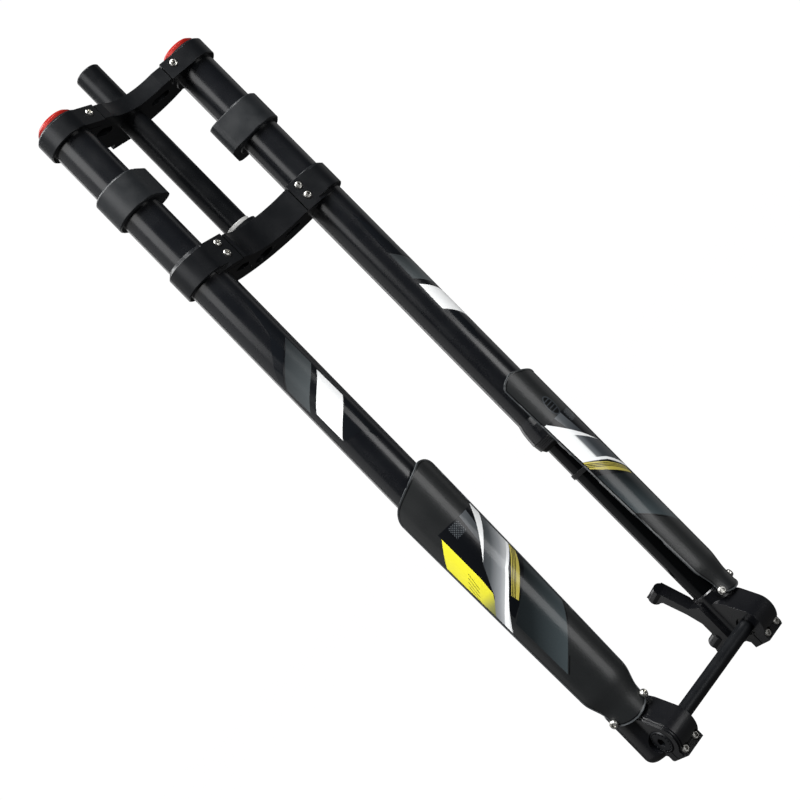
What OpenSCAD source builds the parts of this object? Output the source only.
// Double-crown suspension fork with the outer tubes on top and the stanchions below.
// The origin is the crown race seat on the steerer axis, +Z runs up the steerer, the front is -Y,
// and +X is the rider's left, the brake side.

/* [Overall] */
// Distance between the two leg axes
leg_spacing = 172; // [168:1:210]
// How far the leg axes sit in front of the steerer axis
leg_offset = 22.6; // [18:0.2:28]
// Height from the axle up to the crown race seat
axle_drop = 636; // [530:1:770]
// How far the axle sits in front of the steerer axis
axle_offset = 46; // [42:0.5:52]
// Stroke of the fork
travel = 180; // [120:5:220]

/* [Steerer] */
// Outer diameter of the steerer
steerer_od = 28.6; // [25.4:0.1:34.4]
// Wall of the steerer
steerer_wall = 2.4; // [1.8:0.1:4]
// Height of the steerer above the crown race seat
steerer_length = 226; // [200:1:300]
// Height of the crown race seat
race_seat_h = 5; // [3:0.5:8]
// How much wider the crown race seat is than the steerer, on radius
race_seat_step = 0.7; // [0.4:0.1:3]

/* [Crowns] */
// Wall of the leg clamps
crown_wall = 4.7; // [4:0.1:7]
// Height of the upper leg clamps
upper_clamp_h = 23; // [18:0.5:30]
// Underside of the upper leg clamps
upper_clamp_z = 159; // [140:1:190]
// Thickness of the upper web
upper_web_h = 17.5; // [12:0.5:22]
// Height of the lower leg clamps
lower_clamp_h = 31.5; // [28:0.5:38]
// Height of the lower web
lower_web_h = 31; // [26:0.5:38]
// How far the lower web starts below the clamp tops
lower_web_step = 4.5; // [2:0.5:8]
// Length of a pinch finger from the tangent point
finger_len = 31.6; // [28:0.2:36]
// Thickness of a pinch finger
finger_t = 8.5; // [6:0.5:10]
// Width of the saw cuts
slit_w = 1.2; // [0.8:0.1:2]

/* [Legs] */
// Outer diameter of the stanchions
stanchion_od = 35; // [28:0.5:42]
// Wall of the stanchions
stanchion_wall = 2; // [1.5:0.1:3]
// Wall of the bushings
bush_t = 1.5; // [1:0.1:2.5]
// Wall of the outer tubes
tube_wall = 2.5; // [2:0.1:4]
// Overlap of stanchion and outer tube when the fork is extended
leg_overlap = 190; // [150:1:230]
// Free stroke left at full travel
travel_reserve = 30; // [10:1:40]
// Radial clearance of the running fits
fit_gap = 0.05; // [0.02:0.01:0.1]
// Clearance between pieces that pass each other
pass_gap = 0.6; // [0.4:0.1:1.5]

/* [Bumpers] */
// Wall of the bumper ring
bumper_wall = 5.3; // [4:0.1:8]
// Height of the bumpers
bumper_h = 36; // [28:1:44]
// Underside of the bumpers
bumper_z = 63; // [50:1:90]
// Distance from the leg axis to the bumper face
bumper_reach = 34; // [31:0.5:44]
// Turn of the bumper face from the inboard side towards the rear
bumper_turn = 37; // [20:1:60]

/* [Hub] */
// Distance between the inner dropout faces
hub_width = 135; // [110:1:150]
// Diameter of the thru axle
axle_d = 15; // [12:0.5:20]
// Outer radius of the axle clamp
barrel_r = 20.5; // [18:0.5:26]
// Width of the axle clamp along the axle
barrel_w = 30.5; // [26:0.5:36]

/* [Guards] */
// Gap between a guard and the widest part of the leg
guard_gap = 1.7; // [1:0.1:4]
// Wall of the guards
guard_t = 2.5; // [2:0.1:4]
// Radius of the upper guard section
guard_arc_r = 34.9; // [32:0.1:42]
// Half width of the upper guard section
guard_half_w = 32; // [28:0.5:33]
// Length of the guards
guard_len = 310; // [240:1:340]
// Turn of the guards from the front towards the outside
guard_turn = 25.7; // [0:0.1:35]

/* [Brake mount] */
// Distance between the caliper bolts
caliper_pitch = 74; // [68:1:80]
// Diameter of the threaded caliper holes
caliper_hole_d = 5; // [4:0.5:6]
// Depth of the threaded caliper holes
caliper_hole_depth = 14; // [10:1:15]
// Tilt of the caliper hole axes below the horizontal
caliper_tilt = 16.6; // [0:0.1:25]

/* [Hidden] */
$fn = 96;
hull_fn = 32;
leg_x = leg_spacing / 2;
axle_z = -axle_drop;
axle_r = axle_d / 2;
axle_fwd = axle_offset - leg_offset;
steerer_r = steerer_od / 2;
race_r = steerer_r + race_seat_step;
stanchion_r = stanchion_od / 2;
stanchion_in_r = stanchion_r - stanchion_wall;
tube_in_r = stanchion_r + bush_t;
tube_r = tube_in_r + tube_wall;
clamp_r = tube_r + crown_wall;
upper_clamp_top = upper_clamp_z + upper_clamp_h;
upper_web_z = upper_clamp_z + 1;
finger_angle_up = 69;
finger_angle_low = 76;
bolt_place_up = 19.2;
bolt_place_low = 20.2;
upper_bolt_z = upper_clamp_z + 12.5;
lower_bolt_z = [-0.29 * lower_clamp_h, -0.72 * lower_clamp_h];
pinch_seat = 2.6;
clamp_bolt_y = steerer_r + 20;
clamp_bolt_half = 14;

// The pinch bolts are M5
m5_r = 2.5;
m5_head_r = 4.4;
m5_head_h = 4;
hex_key_r = 2.3;

// Seal end of the outer tubes
flare_step = 3.45;
flare_h = 25;
flare_r = tube_r + flare_step;
seal_h = 9;
wiper_h = 4;
socket_up = 48;
socket_top = axle_z + socket_up;
wiper_z = socket_top + travel + travel_reserve;
tube_end_z = wiper_z + wiper_h + seal_h;
seal_seat_h = 15;
seal_seat_r = tube_in_r + 2;
bushing_h = 28;
bushing_z = tube_end_z + seal_seat_h + 1;

// Stanchions and what is inside the legs
stanchion_top = tube_end_z + leg_overlap;
stanchion_end = axle_z + axle_r + 6.5;
cap_h = 7;
cap_plug_h = 20;
cap_r = tube_r - 1;
cap_top = upper_clamp_top + cap_h;
cap_plug_z = upper_clamp_top - cap_plug_h;
cap_recess_r = 11;
cap_recess_h = 5;
rod_r = 5;
guide_h = 18;
piston_h = 14;
piston_z = stanchion_top - 75;
cartridge_r = 13.5;
cartridge_wall = 1.5;
cartridge_floor = 8;
stop_h = 16;
knob_r = 8.5;
knob_stem_r = 2.5;
valve_r = 4;

// Travel indicator ring
o_ring_h = 5;
o_ring_drop = 40;
o_ring_wall = 1.6;

// Dropouts
socket_wall = 2.5;
socket_r = stanchion_r + socket_wall;
socket_low = 15;
socket_round = 8;
barrel_in = hub_width / 2;
barrel_out = barrel_in + barrel_w;
barrel_chamfer = 3.5;
hub_seat_r = 10.5;
hub_seat_depth = 2;
head_recess_r = 12.8;
head_recess_depth = 6;
axle_head_r = head_recess_r - pass_gap;
axle_head_proud = 0.8;
axle_bore_r = 4.5;
axle_nut_r = 11;
axle_nut_h = 12;
ear_front = 11.5;
ear_drop = 24;
ear_bolt_drop = 17.8;
ear_bolt_x = [barrel_in + 5.7, barrel_in + 23.6];
ear_head_seat = 3.8;

// Guards
guard_front = flare_r + guard_gap + guard_t;
guard_centre = guard_front - guard_arc_r;
guard_low_z = axle_z + 31;
guard_top_z = guard_low_z + guard_len;
guard_foot_r = socket_r + 7;
guard_foot_w = guard_foot_r * sin(68);
guard_taper_z = guard_low_z + 17;
guard_taper_h = 26;
guard_bolt_angle = 46;
guard_bolt_z = guard_low_z + 10;
guard_boss_r = 5.5;

// Brake mount, drawn from the axle in side view
caliper_x = barrel_in - 1.5;
caliper_boss_r = 7.5;
caliper_boss_len = caliper_hole_depth + 4;
caliper_arm_x = [barrel_in - 7.5, barrel_in + 7.5];
caliper_low = [50.8, 0.8];

// Points along an arc, for outlines
function arc(cx, cy, r, from, to, steps) =
    [for (i = [0:steps]) let (a = from + (to - from) * i / steps) [cx + r * cos(a), cy + r * sin(a)]];

// Length of a pinch bolt that ends just short of the tube
function pinch_len(place) = clamp_r - pinch_seat - 0.4 - sqrt(pow(tube_r, 2) - pow(place - m5_r, 2));

// Places its children on the left (1) or the right (-1) side
module on_side(side) {
    mirror([side < 0 ? 1 : 0, 0, 0]) children();
}

// Places its children on a leg axis, with +X outboard
module on_leg(side) {
    on_side(side) translate([leg_x, -leg_offset, 0]) children();
}

module both_legs() {
    for (side = [-1, 1]) on_leg(side) children();
}

module rod(r, z0, z1) {
    translate([0, 0, z0]) cylinder(r = r, h = z1 - z0);
}

module sleeve(r_out, r_in, z0, z1) {
    difference() {
        rod(r_out, z0, z1);
        rod(r_in, z0 - 1, z1 + 1);
    }
}

// A cylinder with a chamfer at both ends
module soft_rod(r, z0, z1, c0, c1) {
    rotate_extrude() polygon([[0, z0], [r - c0, z0], [r, z0 + c0], [r, z1 - c1], [r - c1, z1], [0, z1]]);
}

// Extrudes a side view, drawn as (y, z), from x0 to x1
module along_x(x0, x1) {
    translate([x0, 0, 0]) rotate([90, 0, 90]) linear_extrude(x1 - x0) children();
}

// Bolt with a domed socket head, its seat at the origin, head towards +Z and shank towards -Z
module socket_bolt(r, head_r, head_h, length) {
    difference() {
        union() {
            rotate_extrude() polygon([[0, 0], [head_r, 0], [head_r, head_h * 0.45],
                [head_r * 0.93, head_h * 0.72], [head_r * 0.8, head_h * 0.92], [head_r * 0.64, head_h],
                [0, head_h]]);
            rod(r, -length, 0.1);
        }
        translate([0, 0, head_h * 0.45]) cylinder(r = head_r * 0.55, h = head_h, $fn = 6);
    }
}

module slot_plan(length, r) {
    for (x = [-1, 1]) translate([x * (length / 2 - r), 0]) circle(r = r);
    square([length - 2 * r, 2 * r], center = true);
}

// ---- Crowns ----

// The frame of a pinch finger: its face is at y = -clamp_r and it runs towards -X
module on_finger(angle) {
    rotate([0, 0, angle - 90]) children();
}

module finger_plan(angle) {
    on_finger(angle) translate([-finger_len, -clamp_r]) square([finger_len, finger_t + 6]);
}

module finger_cut(angle) {
    on_finger(angle) {
        translate([-finger_len - slit_w, finger_t - clamp_r]) square([finger_len - 8, slit_w]);
        translate([-finger_len - slit_w, -clamp_r - 12]) square([slit_w, finger_t + 12 + slit_w]);
    }
}

// Web between the legs, with a concave front and a convex rear
module web_plan(front_y, front_r, rear_y, rear_r) {
    intersection() {
        difference() {
            translate([0, rear_y - rear_r]) circle(r = rear_r);
            translate([0, front_y - front_r]) circle(r = front_r);
        }
        translate([-leg_x, -leg_offset - clamp_r + 4]) square([leg_spacing, 200]);
    }
}

// The steerer boss, cut off where the front arc of the web runs
module boss_plan(r, front_y, front_r) {
    difference() {
        circle(r = r);
        translate([0, front_y - front_r]) circle(r = front_r);
    }
}

// What fills the corner in front of the web, between the front arc and a finger
module web_corner_cut(angle) {
    on_finger(angle) translate([-finger_len - 60, -clamp_r - 60]) square([120, 60]);
}

module clamp_holes(z0, z1, angle, bolt_place, bolt_heights) {
    length = pinch_len(bolt_place);
    rod(tube_r, z0 - 10, z1 + 10);
    translate([0, 0, z0 - 10]) linear_extrude(z1 - z0 + 20) finger_cut(angle);
    for (z = bolt_heights) on_finger(angle) translate([-bolt_place, -clamp_r, z]) rotate([90, 0, 0]) {
        rod(m5_r, -pinch_seat - length, 1);
        rod(m5_head_r + 0.3, -pinch_seat, 20);
    }
}

module upper_crown() {
    boss_r = steerer_r + 9;
    color([0.23, 0.24, 0.26]) difference() {
        union() {
            translate([0, 0, upper_web_z]) linear_extrude(upper_web_h) {
                difference() {
                    web_plan(-18.5, 55, 35, 105);
                    for (side = [-1, 1]) mirror([side < 0 ? 1 : 0, 0]) translate([leg_x, -leg_offset])
                        web_corner_cut(finger_angle_up);
                }
                boss_plan(boss_r, -18.5, 55);
                translate([1 - clamp_bolt_half, 0]) square([2 * clamp_bolt_half - 2, clamp_bolt_y + 9]);
            }
            both_legs() {
                soft_rod(clamp_r, upper_clamp_z, upper_clamp_top, 1, 2.5);
                translate([0, 0, upper_clamp_z]) linear_extrude(upper_web_h + 3)
                    finger_plan(finger_angle_up);
            }
        }
        both_legs()
            clamp_holes(upper_clamp_z, upper_clamp_top, finger_angle_up, bolt_place_up, [upper_bolt_z]);
        rod(steerer_r, upper_web_z - 1, upper_clamp_top);
        translate([-slit_w / 2, 0, upper_web_z - 1]) cube([slit_w, 80, upper_web_h + 2]);
        for (side = [-1, 1]) on_side(side) {
            translate([leg_x * 0.46, -8, upper_web_z - 1]) rotate([0, 0, -20])
                linear_extrude(upper_web_h - 4) slot_plan(24, 6);
        }
        // Clamp bolt across the rear slit
        translate([0, clamp_bolt_y, upper_web_z + upper_web_h / 2]) rotate([0, 90, 0]) {
            rod(m5_r, -clamp_bolt_half, clamp_bolt_half);
            rod(m5_head_r + 0.3, -clamp_bolt_half, 5 - clamp_bolt_half);
        }
    }
}

module lower_crown() {
    top = -lower_web_step;
    boss_r = steerer_r + 9.5;
    color([0.23, 0.24, 0.26]) difference() {
        union() {
            translate([0, 0, top - lower_web_h]) linear_extrude(lower_web_h) {
                difference() {
                    web_plan(-22, 64, 25, 119);
                    for (side = [-1, 1]) mirror([side < 0 ? 1 : 0, 0]) translate([leg_x, -leg_offset])
                        web_corner_cut(finger_angle_low);
                }
                boss_plan(boss_r, -22, 64);
            }
            rod(boss_r - 4, top - 1, 0);
            both_legs() {
                soft_rod(clamp_r, -lower_clamp_h, 0, 1, 4);
                translate([0, 0, -lower_clamp_h]) linear_extrude(lower_clamp_h - 2)
                    finger_plan(finger_angle_low);
            }
        }
        both_legs() clamp_holes(-lower_clamp_h, 0, finger_angle_low, bolt_place_low, lower_bolt_z);
        rod(steerer_r, top - lower_web_h - 1, 1);
        for (side = [-1, 1]) on_side(side) {
            translate([leg_x * 0.435, -13, top - lower_web_h - 1]) rotate([0, 0, -28])
                linear_extrude(lower_web_h - 5) slot_plan(22, 5.5);
        }
        // Groove round the rear of the steerer bore
        translate([0, 0, top - lower_web_h - 1]) linear_extrude(3) intersection() {
            difference() {
                circle(r = steerer_r + 5.5);
                circle(r = steerer_r + 4);
            }
            translate([-30, 0]) square([60, 30]);
        }
    }
}

module pinch_bolts(angle, bolt_place, heights) {
    color("silver") both_legs() for (z = heights) on_finger(angle)
        translate([-bolt_place, pinch_seat - clamp_r, z]) rotate([90, 0, 0])
            socket_bolt(m5_r, m5_head_r, m5_head_h, pinch_len(bolt_place));
}

module upper_crown_bolts() {
    pinch_bolts(finger_angle_up, bolt_place_up, [upper_bolt_z]);
}

module lower_crown_bolts() {
    pinch_bolts(finger_angle_low, bolt_place_low, lower_bolt_z);
}

module steerer_clamp_bolt() {
    color("silver") translate([5 - clamp_bolt_half, clamp_bolt_y, upper_web_z + upper_web_h / 2])
        rotate([0, -90, 0]) socket_bolt(m5_r, m5_head_r, m5_head_h, 20);
}

module steerer_tube() {
    low = -lower_web_step - lower_web_h;
    color("dimgray") difference() {
        union() {
            soft_rod(steerer_r, low, steerer_length, 0, 1.2);
            rod(race_r, 0, race_seat_h);
        }
        rod(steerer_r - steerer_wall, low - 1, steerer_length + 1);
    }
}

// ---- Outer tubes and what they carry ----

module outer_tube() {
    z = tube_end_z;
    color([0.2, 0.21, 0.23]) difference() {
        rotate_extrude() polygon(concat(
            [[0, z], [flare_r - 0.6, z], [flare_r, z + 0.6], [flare_r - 0.4, z + 8]],
            [[flare_r - 1.2, z + 16], [flare_r - 2.3, z + 21], [tube_r, z + flare_h]],
            [[tube_r, upper_clamp_top], [0, upper_clamp_top]]));
        rod(tube_in_r, z - 1, upper_clamp_top + 1);
        rod(seal_seat_r, z - 1, z + seal_seat_h);
    }
}

module outer_tube_left() { on_leg(1) outer_tube(); }
module outer_tube_right() { on_leg(-1) outer_tube(); }

module top_cap() {
    difference() {
        union() {
            soft_rod(cap_r, upper_clamp_top, cap_top, 0, 3);
            rod(tube_in_r, cap_plug_z, upper_clamp_top + 1);
        }
        rod(cap_recess_r, cap_top - cap_recess_h, cap_top + 1);
        children();
    }
}

module top_cap_left() {
    color("red") on_leg(1) top_cap() {
        rod(valve_r, upper_clamp_top - 12, cap_top);
        rod(rod_r, cap_plug_z - 1, upper_clamp_top - 11.9);
    }
}

module top_cap_right() {
    color("red") on_leg(-1) top_cap() {
        rod(knob_stem_r + fit_gap, upper_clamp_top - 12, cap_top);
        rod(rod_r, cap_plug_z - 1, upper_clamp_top - 11.9);
    }
}

module air_valve() {
    color("gold") on_leg(1) difference() {
        rod(valve_r, upper_clamp_top - 12, cap_top - 2);
        rod(1.2, upper_clamp_top - 13, cap_top);
    }
}

module valve_cap() {
    color("black") on_leg(1) difference() {
        soft_rod(valve_r + 1.6, cap_top - cap_recess_h, cap_top, 0, 0.8);
        rod(valve_r, cap_top - cap_recess_h - 1, cap_top - 2);
    }
}

module damping_knob() {
    z = cap_top - cap_recess_h + 0.4;
    color("silver") on_leg(-1) difference() {
        union() {
            soft_rod(knob_r, z, cap_top, 0, 0.8);
            rod(knob_stem_r, upper_clamp_top - 11, z + 1);
        }
        for (i = [0:11]) rotate([0, 0, 30 * i]) translate([knob_r + 0.6, 0, z - 1])
            cylinder(r = 1.3, h = cap_recess_h + 2);
    }
}

// The bumper in a frame with +X towards its striking face
module bumper() {
    r = tube_r + bumper_wall;
    top = bumper_z + bumper_h;
    corner = 11;
    color([0.16, 0.16, 0.18]) rotate([0, 0, 180 - bumper_turn]) difference() {
        union() {
            soft_rod(r, bumper_z, top, 1.5, 1.5);
            translate([0, 0, bumper_z + 1]) linear_extrude(bumper_h - 2) polygon(concat([[0, r], [0, -r]],
                arc(bumper_reach - corner, corner - r, corner, -90, 0, 6),
                arc(bumper_reach - corner, r - corner, corner, 0, 90, 6)));
        }
        rod(tube_r, bumper_z - 1, top + 1);
        // Gap and screw pockets at the striking face
        translate([0, -1, bumper_z - 1]) cube([bumper_reach + 1, 2, bumper_h + 2]);
        for (z = [0.25, 0.75]) translate([tube_r + 5, 0, bumper_z + z * bumper_h]) rotate([90, 0, 0]) {
            rod(2, -r + 4, r - 4);
            rod(4, r - 6, r + 1);
        }
    }
}

module bumper_left() { on_leg(1) bumper(); }
module bumper_right() { on_leg(-1) bumper(); }

module bumper_screws() {
    r = tube_r + bumper_wall;
    color("silver") both_legs() rotate([0, 0, 180 - bumper_turn]) for (z = [0.25, 0.75])
        translate([tube_r + 5, -r + 6, bumper_z + z * bumper_h]) rotate([90, 0, 0])
            socket_bolt(2, 3.6, 3.2, 2 * r - 12);
}

module lower_bushing() {
    color("tan") sleeve(tube_in_r, stanchion_r + fit_gap, bushing_z, bushing_z + bushing_h);
}

module lower_bushing_left() { on_leg(1) lower_bushing(); }
module lower_bushing_right() { on_leg(-1) lower_bushing(); }

module seal_head() {
    z = tube_end_z;
    color("dimgray") difference() {
        union() {
            rod(seal_seat_r, z - 1, z + seal_seat_h);
            for (i = [0:3])
                soft_rod(flare_r - 0.5 - 0.35 * i, z - seal_h + 2.2 * (3 - i), z - 2.2 * i, 0.4, 0.4);
        }
        rod(stanchion_r + pass_gap, z - seal_h - 1, z + seal_seat_h + 1);
    }
}

module seal_head_left() { on_leg(1) seal_head(); }
module seal_head_right() { on_leg(-1) seal_head(); }

module dust_wipers() {
    z = tube_end_z - seal_h;
    color("black") both_legs() rotate_extrude() polygon([[stanchion_r + fit_gap, z - wiper_h],
        [stanchion_r + 1.8, z - wiper_h], [stanchion_r + 4.2, z], [stanchion_r + pass_gap, z],
        [stanchion_r + fit_gap, z - 1.4]]);
}

// ---- Damper, air spring and stanchions ----

module damper_rod() {
    color("silver") on_leg(-1) difference() {
        rod(rod_r, piston_z, upper_clamp_top - 12);
        rod(knob_stem_r, piston_z - 1, upper_clamp_top - 11);
    }
}

module damper_piston() {
    color("gold") on_leg(-1)
        sleeve(cartridge_r - cartridge_wall - fit_gap, rod_r, piston_z, piston_z + piston_h);
}

module air_shaft() {
    color("silver") on_leg(1) difference() {
        rod(rod_r, piston_z, upper_clamp_top - 12);
        rod(knob_stem_r, piston_z + piston_h + 6, upper_clamp_top - 11);
    }
}

module air_piston() {
    color("gold") on_leg(1) sleeve(stanchion_in_r - fit_gap, rod_r, piston_z, piston_z + piston_h);
}

module stanchion() {
    color("silver") sleeve(stanchion_r, stanchion_in_r, stanchion_end, stanchion_top);
}

module stanchion_left() { on_leg(1) stanchion(); }
module stanchion_right() { on_leg(-1) stanchion(); }

module upper_bushing() {
    color("tan") sleeve(tube_in_r - fit_gap, stanchion_r, stanchion_top - bushing_h, stanchion_top - 1);
}

module upper_bushing_left() { on_leg(1) upper_bushing(); }
module upper_bushing_right() { on_leg(-1) upper_bushing(); }

module damper_cartridge() {
    color("silver") on_leg(-1) difference() {
        rod(cartridge_r, stanchion_end + cartridge_floor, stanchion_top - guide_h);
        rod(cartridge_r - cartridge_wall, stanchion_end + 2 * cartridge_floor, stanchion_top);
    }
}

module guide() {
    sleeve(stanchion_in_r, rod_r + fit_gap, stanchion_top - guide_h, stanchion_top);
}

module damper_rod_guide() { color("dimgray") on_leg(-1) guide(); }
module air_seal_head() { color("dimgray") on_leg(1) guide(); }

module end_stop_rubbers() {
    color("black") both_legs() sleeve(rod_r + 5, rod_r, cap_plug_z - stop_h, cap_plug_z);
}

module travel_o_ring() {
    color("black") on_leg(1) sleeve(stanchion_r + o_ring_wall, stanchion_r + fit_gap, wiper_z - o_ring_drop,
        wiper_z - o_ring_drop + o_ring_h);
}

// ---- Dropouts ----

// Side view of the axle clamp, with the axle at the origin and the leg towards +Y
module barrel_plan(inset) {
    circle(r = barrel_r - inset);
    polygon([[-(barrel_r - inset) * sin(45), (barrel_r - inset) * cos(45)], [1, 30 - inset], [10, 36 - inset],
        [axle_fwd, 36 - inset], [axle_fwd, -socket_low + 2], [0, -socket_low]]);
    translate([inset - ear_front, inset - ear_drop]) square([2 * (ear_front - inset), ear_drop]);
}

module socket() {
    z = axle_z - socket_low;
    foot_arc = arc(socket_r - socket_round, z + socket_round, socket_round, -90, 0, 8);
    rotate_extrude() polygon(concat([[0, z]], foot_arc,
        [[socket_r, socket_top - 1.5], [socket_r - 1.2, socket_top], [0, socket_top]]));
}

module dropout() {
    on_axle = [-leg_x, -axle_fwd, axle_z];
    difference() {
        union() {
            socket();
            translate(on_axle) {
                along_x(barrel_in, barrel_out - barrel_chamfer) barrel_plan(0);
                along_x(barrel_out - barrel_chamfer, barrel_out - 1.6) barrel_plan(1.2);
                along_x(barrel_out - 1.6, barrel_out) barrel_plan(2.8);
            }
            // Bosses that carry the guard
            intersection() {
                rod(guard_foot_r - guard_t, axle_z, guard_bolt_z + 30);
                for (a = [-1, 1]) rotate([0, 0, 180 + guard_turn + a * guard_bolt_angle])
                    translate([0, 0, guard_bolt_z]) rotate([-90, 0, 0]) rod(guard_boss_r, stanchion_r + 0.5,
                        guard_foot_r);
            }
            difference() {
                children();
                rod(stanchion_r + o_ring_wall + 1, socket_top, socket_top + 80);
                rod(flare_r + 1.5, socket_top + travel_reserve - 3, socket_top + 80);
            }
        }
        rod(stanchion_r, stanchion_end, socket_top + 80);
        // Seat of the foot bolt under the socket
        rod(3, axle_z - socket_low - 1, stanchion_end + 1);
        rod(6, axle_z - socket_low - 1, axle_z - socket_low + 5);
        translate(on_axle) {
            rotate([0, 90, 0]) rod(axle_r + fit_gap, barrel_in - 10, barrel_out + 10);
            rotate([0, 90, 0]) rod(hub_seat_r, barrel_in - 10, barrel_in + hub_seat_depth);
            rotate([0, 90, 0]) rod(head_recess_r, barrel_out - head_recess_depth, barrel_out + 20);
            translate([0, -slit_w / 2, -ear_drop - 1]) cube([200, slit_w, ear_drop - 2]);
            for (x = ear_bolt_x) translate([x, -ear_front, -ear_bolt_drop]) rotate([90, 0, 0]) {
                rod(m5_r, -18, 1);
                rod(m5_head_r + 0.4, -ear_head_seat, 10);
            }
        }
        for (a = [-1, 1]) rotate([0, 0, 180 + guard_turn + a * guard_bolt_angle])
            translate([0, 0, guard_bolt_z]) rotate([-90, 0, 0]) rod(2, stanchion_r, guard_foot_r);
    }
}

// Side view of the brake arm, with the axle at the origin
module caliper_arm_plan() {
    polygon([[57, 80], [73, 79], [71, 69], [60, 65], [45, 42], [37.4, 26], [37.3, 12], [40, 4],
        [49, 3], [53, -10], [41, -14], [axle_fwd, -10], [axle_fwd, 42], [37, 46]]);
}

module caliper_boss_place(i) {
    run = caliper_pitch * i;
    translate([caliper_x - leg_x, caliper_low[0] + run * sin(caliper_tilt) - axle_fwd,
        axle_z + caliper_low[1] + run * cos(caliper_tilt)]) rotate([-90 - caliper_tilt, 0, 0]) children();
}

module caliper_arm() {
    translate([-leg_x, -axle_fwd, axle_z]) along_x(caliper_arm_x[0], caliper_arm_x[1]) caliper_arm_plan();
    for (i = [0, 1]) caliper_boss_place(i) rod(caliper_boss_r, -caliper_boss_len, 0);
}

module dropout_left() {
    color([0.2, 0.21, 0.23]) on_leg(1) difference() {
        dropout() caliper_arm();
        for (i = [0, 1]) caliper_boss_place(i) rod(caliper_hole_d / 2, -caliper_hole_depth, 1);
    }
}

module dropout_right() {
    color([0.2, 0.21, 0.23]) on_leg(-1) dropout();
}

module foot_bolts() {
    color("silver") both_legs() translate([0, 0, axle_z - socket_low + 5]) rotate([180, 0, 0])
        socket_bolt(3, 5.6, 4.6, stanchion_end - axle_z + socket_low - 5 + 7);
}

module thru_axle() {
    head = -barrel_out - axle_head_proud;
    color("silver") translate([0, -axle_offset, axle_z]) rotate([0, 90, 0]) difference() {
        union() {
            rod(axle_r, head + 1, barrel_out - head_recess_depth + axle_nut_h - 8);
            soft_rod(axle_head_r, head, -barrel_out + head_recess_depth - 0.4, 0.8, 0);
        }
        rod(axle_bore_r, -barrel_in, barrel_out + 10);
        translate([0, 0, head - 1]) cylinder(r = 4.6, h = 7, $fn = 6);
        for (i = [0:17]) rotate([0, 0, 20 * i]) translate([axle_head_r - 2.2, 0, head - 1])
            cylinder(r = 1, h = 1.8);
    }
}

module axle_nut() {
    x = barrel_out - head_recess_depth;
    color("dimgray") translate([0, -axle_offset, axle_z]) rotate([0, 90, 0])
        sleeve(axle_nut_r, axle_r + fit_gap, x, x + head_recess_depth - 1.2);
}

module axle_clamp_bolts() {
    color("silver") for (side = [-1, 1], x = ear_bolt_x) on_side(side)
        translate([x, ear_head_seat - axle_offset - ear_front, axle_z - ear_bolt_drop]) rotate([90, 0, 0])
            socket_bolt(m5_r, m5_head_r, m5_head_h + 0.6, 14);
}

// ---- Guards ----

// Section of a guard, solid from its outer face back to the leg
module guard_section(centre, r, half_w) {
    intersection() {
        translate([0, centre]) circle(r = r);
        translate([-half_w, 0]) square([2 * half_w, r + 20]);
    }
}

module guard_shape(wall, spread) {
    upper_r = guard_arc_r - wall;
    foot_r = guard_foot_r - wall;
    translate([0, 0, guard_taper_z + guard_taper_h]) linear_extrude(guard_len)
        guard_section(guard_centre, upper_r, guard_half_w + spread);
    hull() {
        translate([0, 0, guard_taper_z + guard_taper_h]) linear_extrude(0.01)
            guard_section(guard_centre, upper_r, guard_half_w + spread);
        translate([0, 0, guard_taper_z]) linear_extrude(0.01) guard_section(0, foot_r, guard_foot_w + spread);
    }
    translate([0, 0, guard_low_z - 5]) linear_extrude(guard_taper_z - guard_low_z + 5)
        guard_section(0, foot_r, guard_foot_w + spread);
}

// Front view of a guard: a slanted top with one small and one large corner, and a round foot
module guard_front_view() {
    w = guard_half_w;
    top = guard_top_z;
    foot_arc = 30.5;
    foot_angle = acos(guard_foot_w / foot_arc);
    polygon(concat(arc(w - 8, top - 8, 8, 0, 100, 8), arc(20 - w, top - 34, 20, 115, 180, 10),
        [[-w, guard_taper_z + guard_taper_h]],
        arc(0, guard_low_z + foot_arc, foot_arc, 180 + foot_angle, 360 - foot_angle, 16),
        [[w, guard_taper_z + guard_taper_h]]));
}

module guard() {
    color([0.14, 0.15, 0.17]) rotate([0, 0, 180 + guard_turn]) difference() {
        intersection() {
            guard_shape(0, 0);
            rotate([90, 0, 0]) translate([0, 0, -80]) linear_extrude(80) guard_front_view();
        }
        guard_shape(guard_t, 10);
        for (a = [-1, 1]) rotate([0, 0, a * guard_bolt_angle]) translate([0, 0, guard_bolt_z])
            rotate([-90, 0, 0]) rod(2.3, socket_r, guard_foot_r + 5);
    }
}

module guard_left() { on_leg(1) guard(); }
module guard_right() { on_leg(-1) guard(); }

module guard_bolts() {
    color("silver") both_legs() for (a = [-1, 1]) rotate([0, 0, 180 + guard_turn + a * guard_bolt_angle])
        translate([0, guard_foot_r, guard_bolt_z]) rotate([-90, 0, 0]) socket_bolt(2, m5_head_r, 3.6,
            guard_foot_r - stanchion_r);
}

steerer_tube();
upper_crown();
lower_crown();
upper_crown_bolts();
lower_crown_bolts();
steerer_clamp_bolt();
outer_tube_left();
outer_tube_right();
top_cap_left();
top_cap_right();
air_valve();
valve_cap();
damping_knob();
bumper_left();
bumper_right();
bumper_screws();
lower_bushing_left();
lower_bushing_right();
seal_head_left();
seal_head_right();
dust_wipers();
damper_rod();
damper_piston();
air_shaft();
air_piston();
stanchion_left();
stanchion_right();
upper_bushing_left();
upper_bushing_right();
damper_cartridge();
damper_rod_guide();
air_seal_head();
end_stop_rubbers();
travel_o_ring();
dropout_left();
dropout_right();
foot_bolts();
thru_axle();
axle_nut();
axle_clamp_bolts();
guard_left();
guard_right();
guard_bolts();
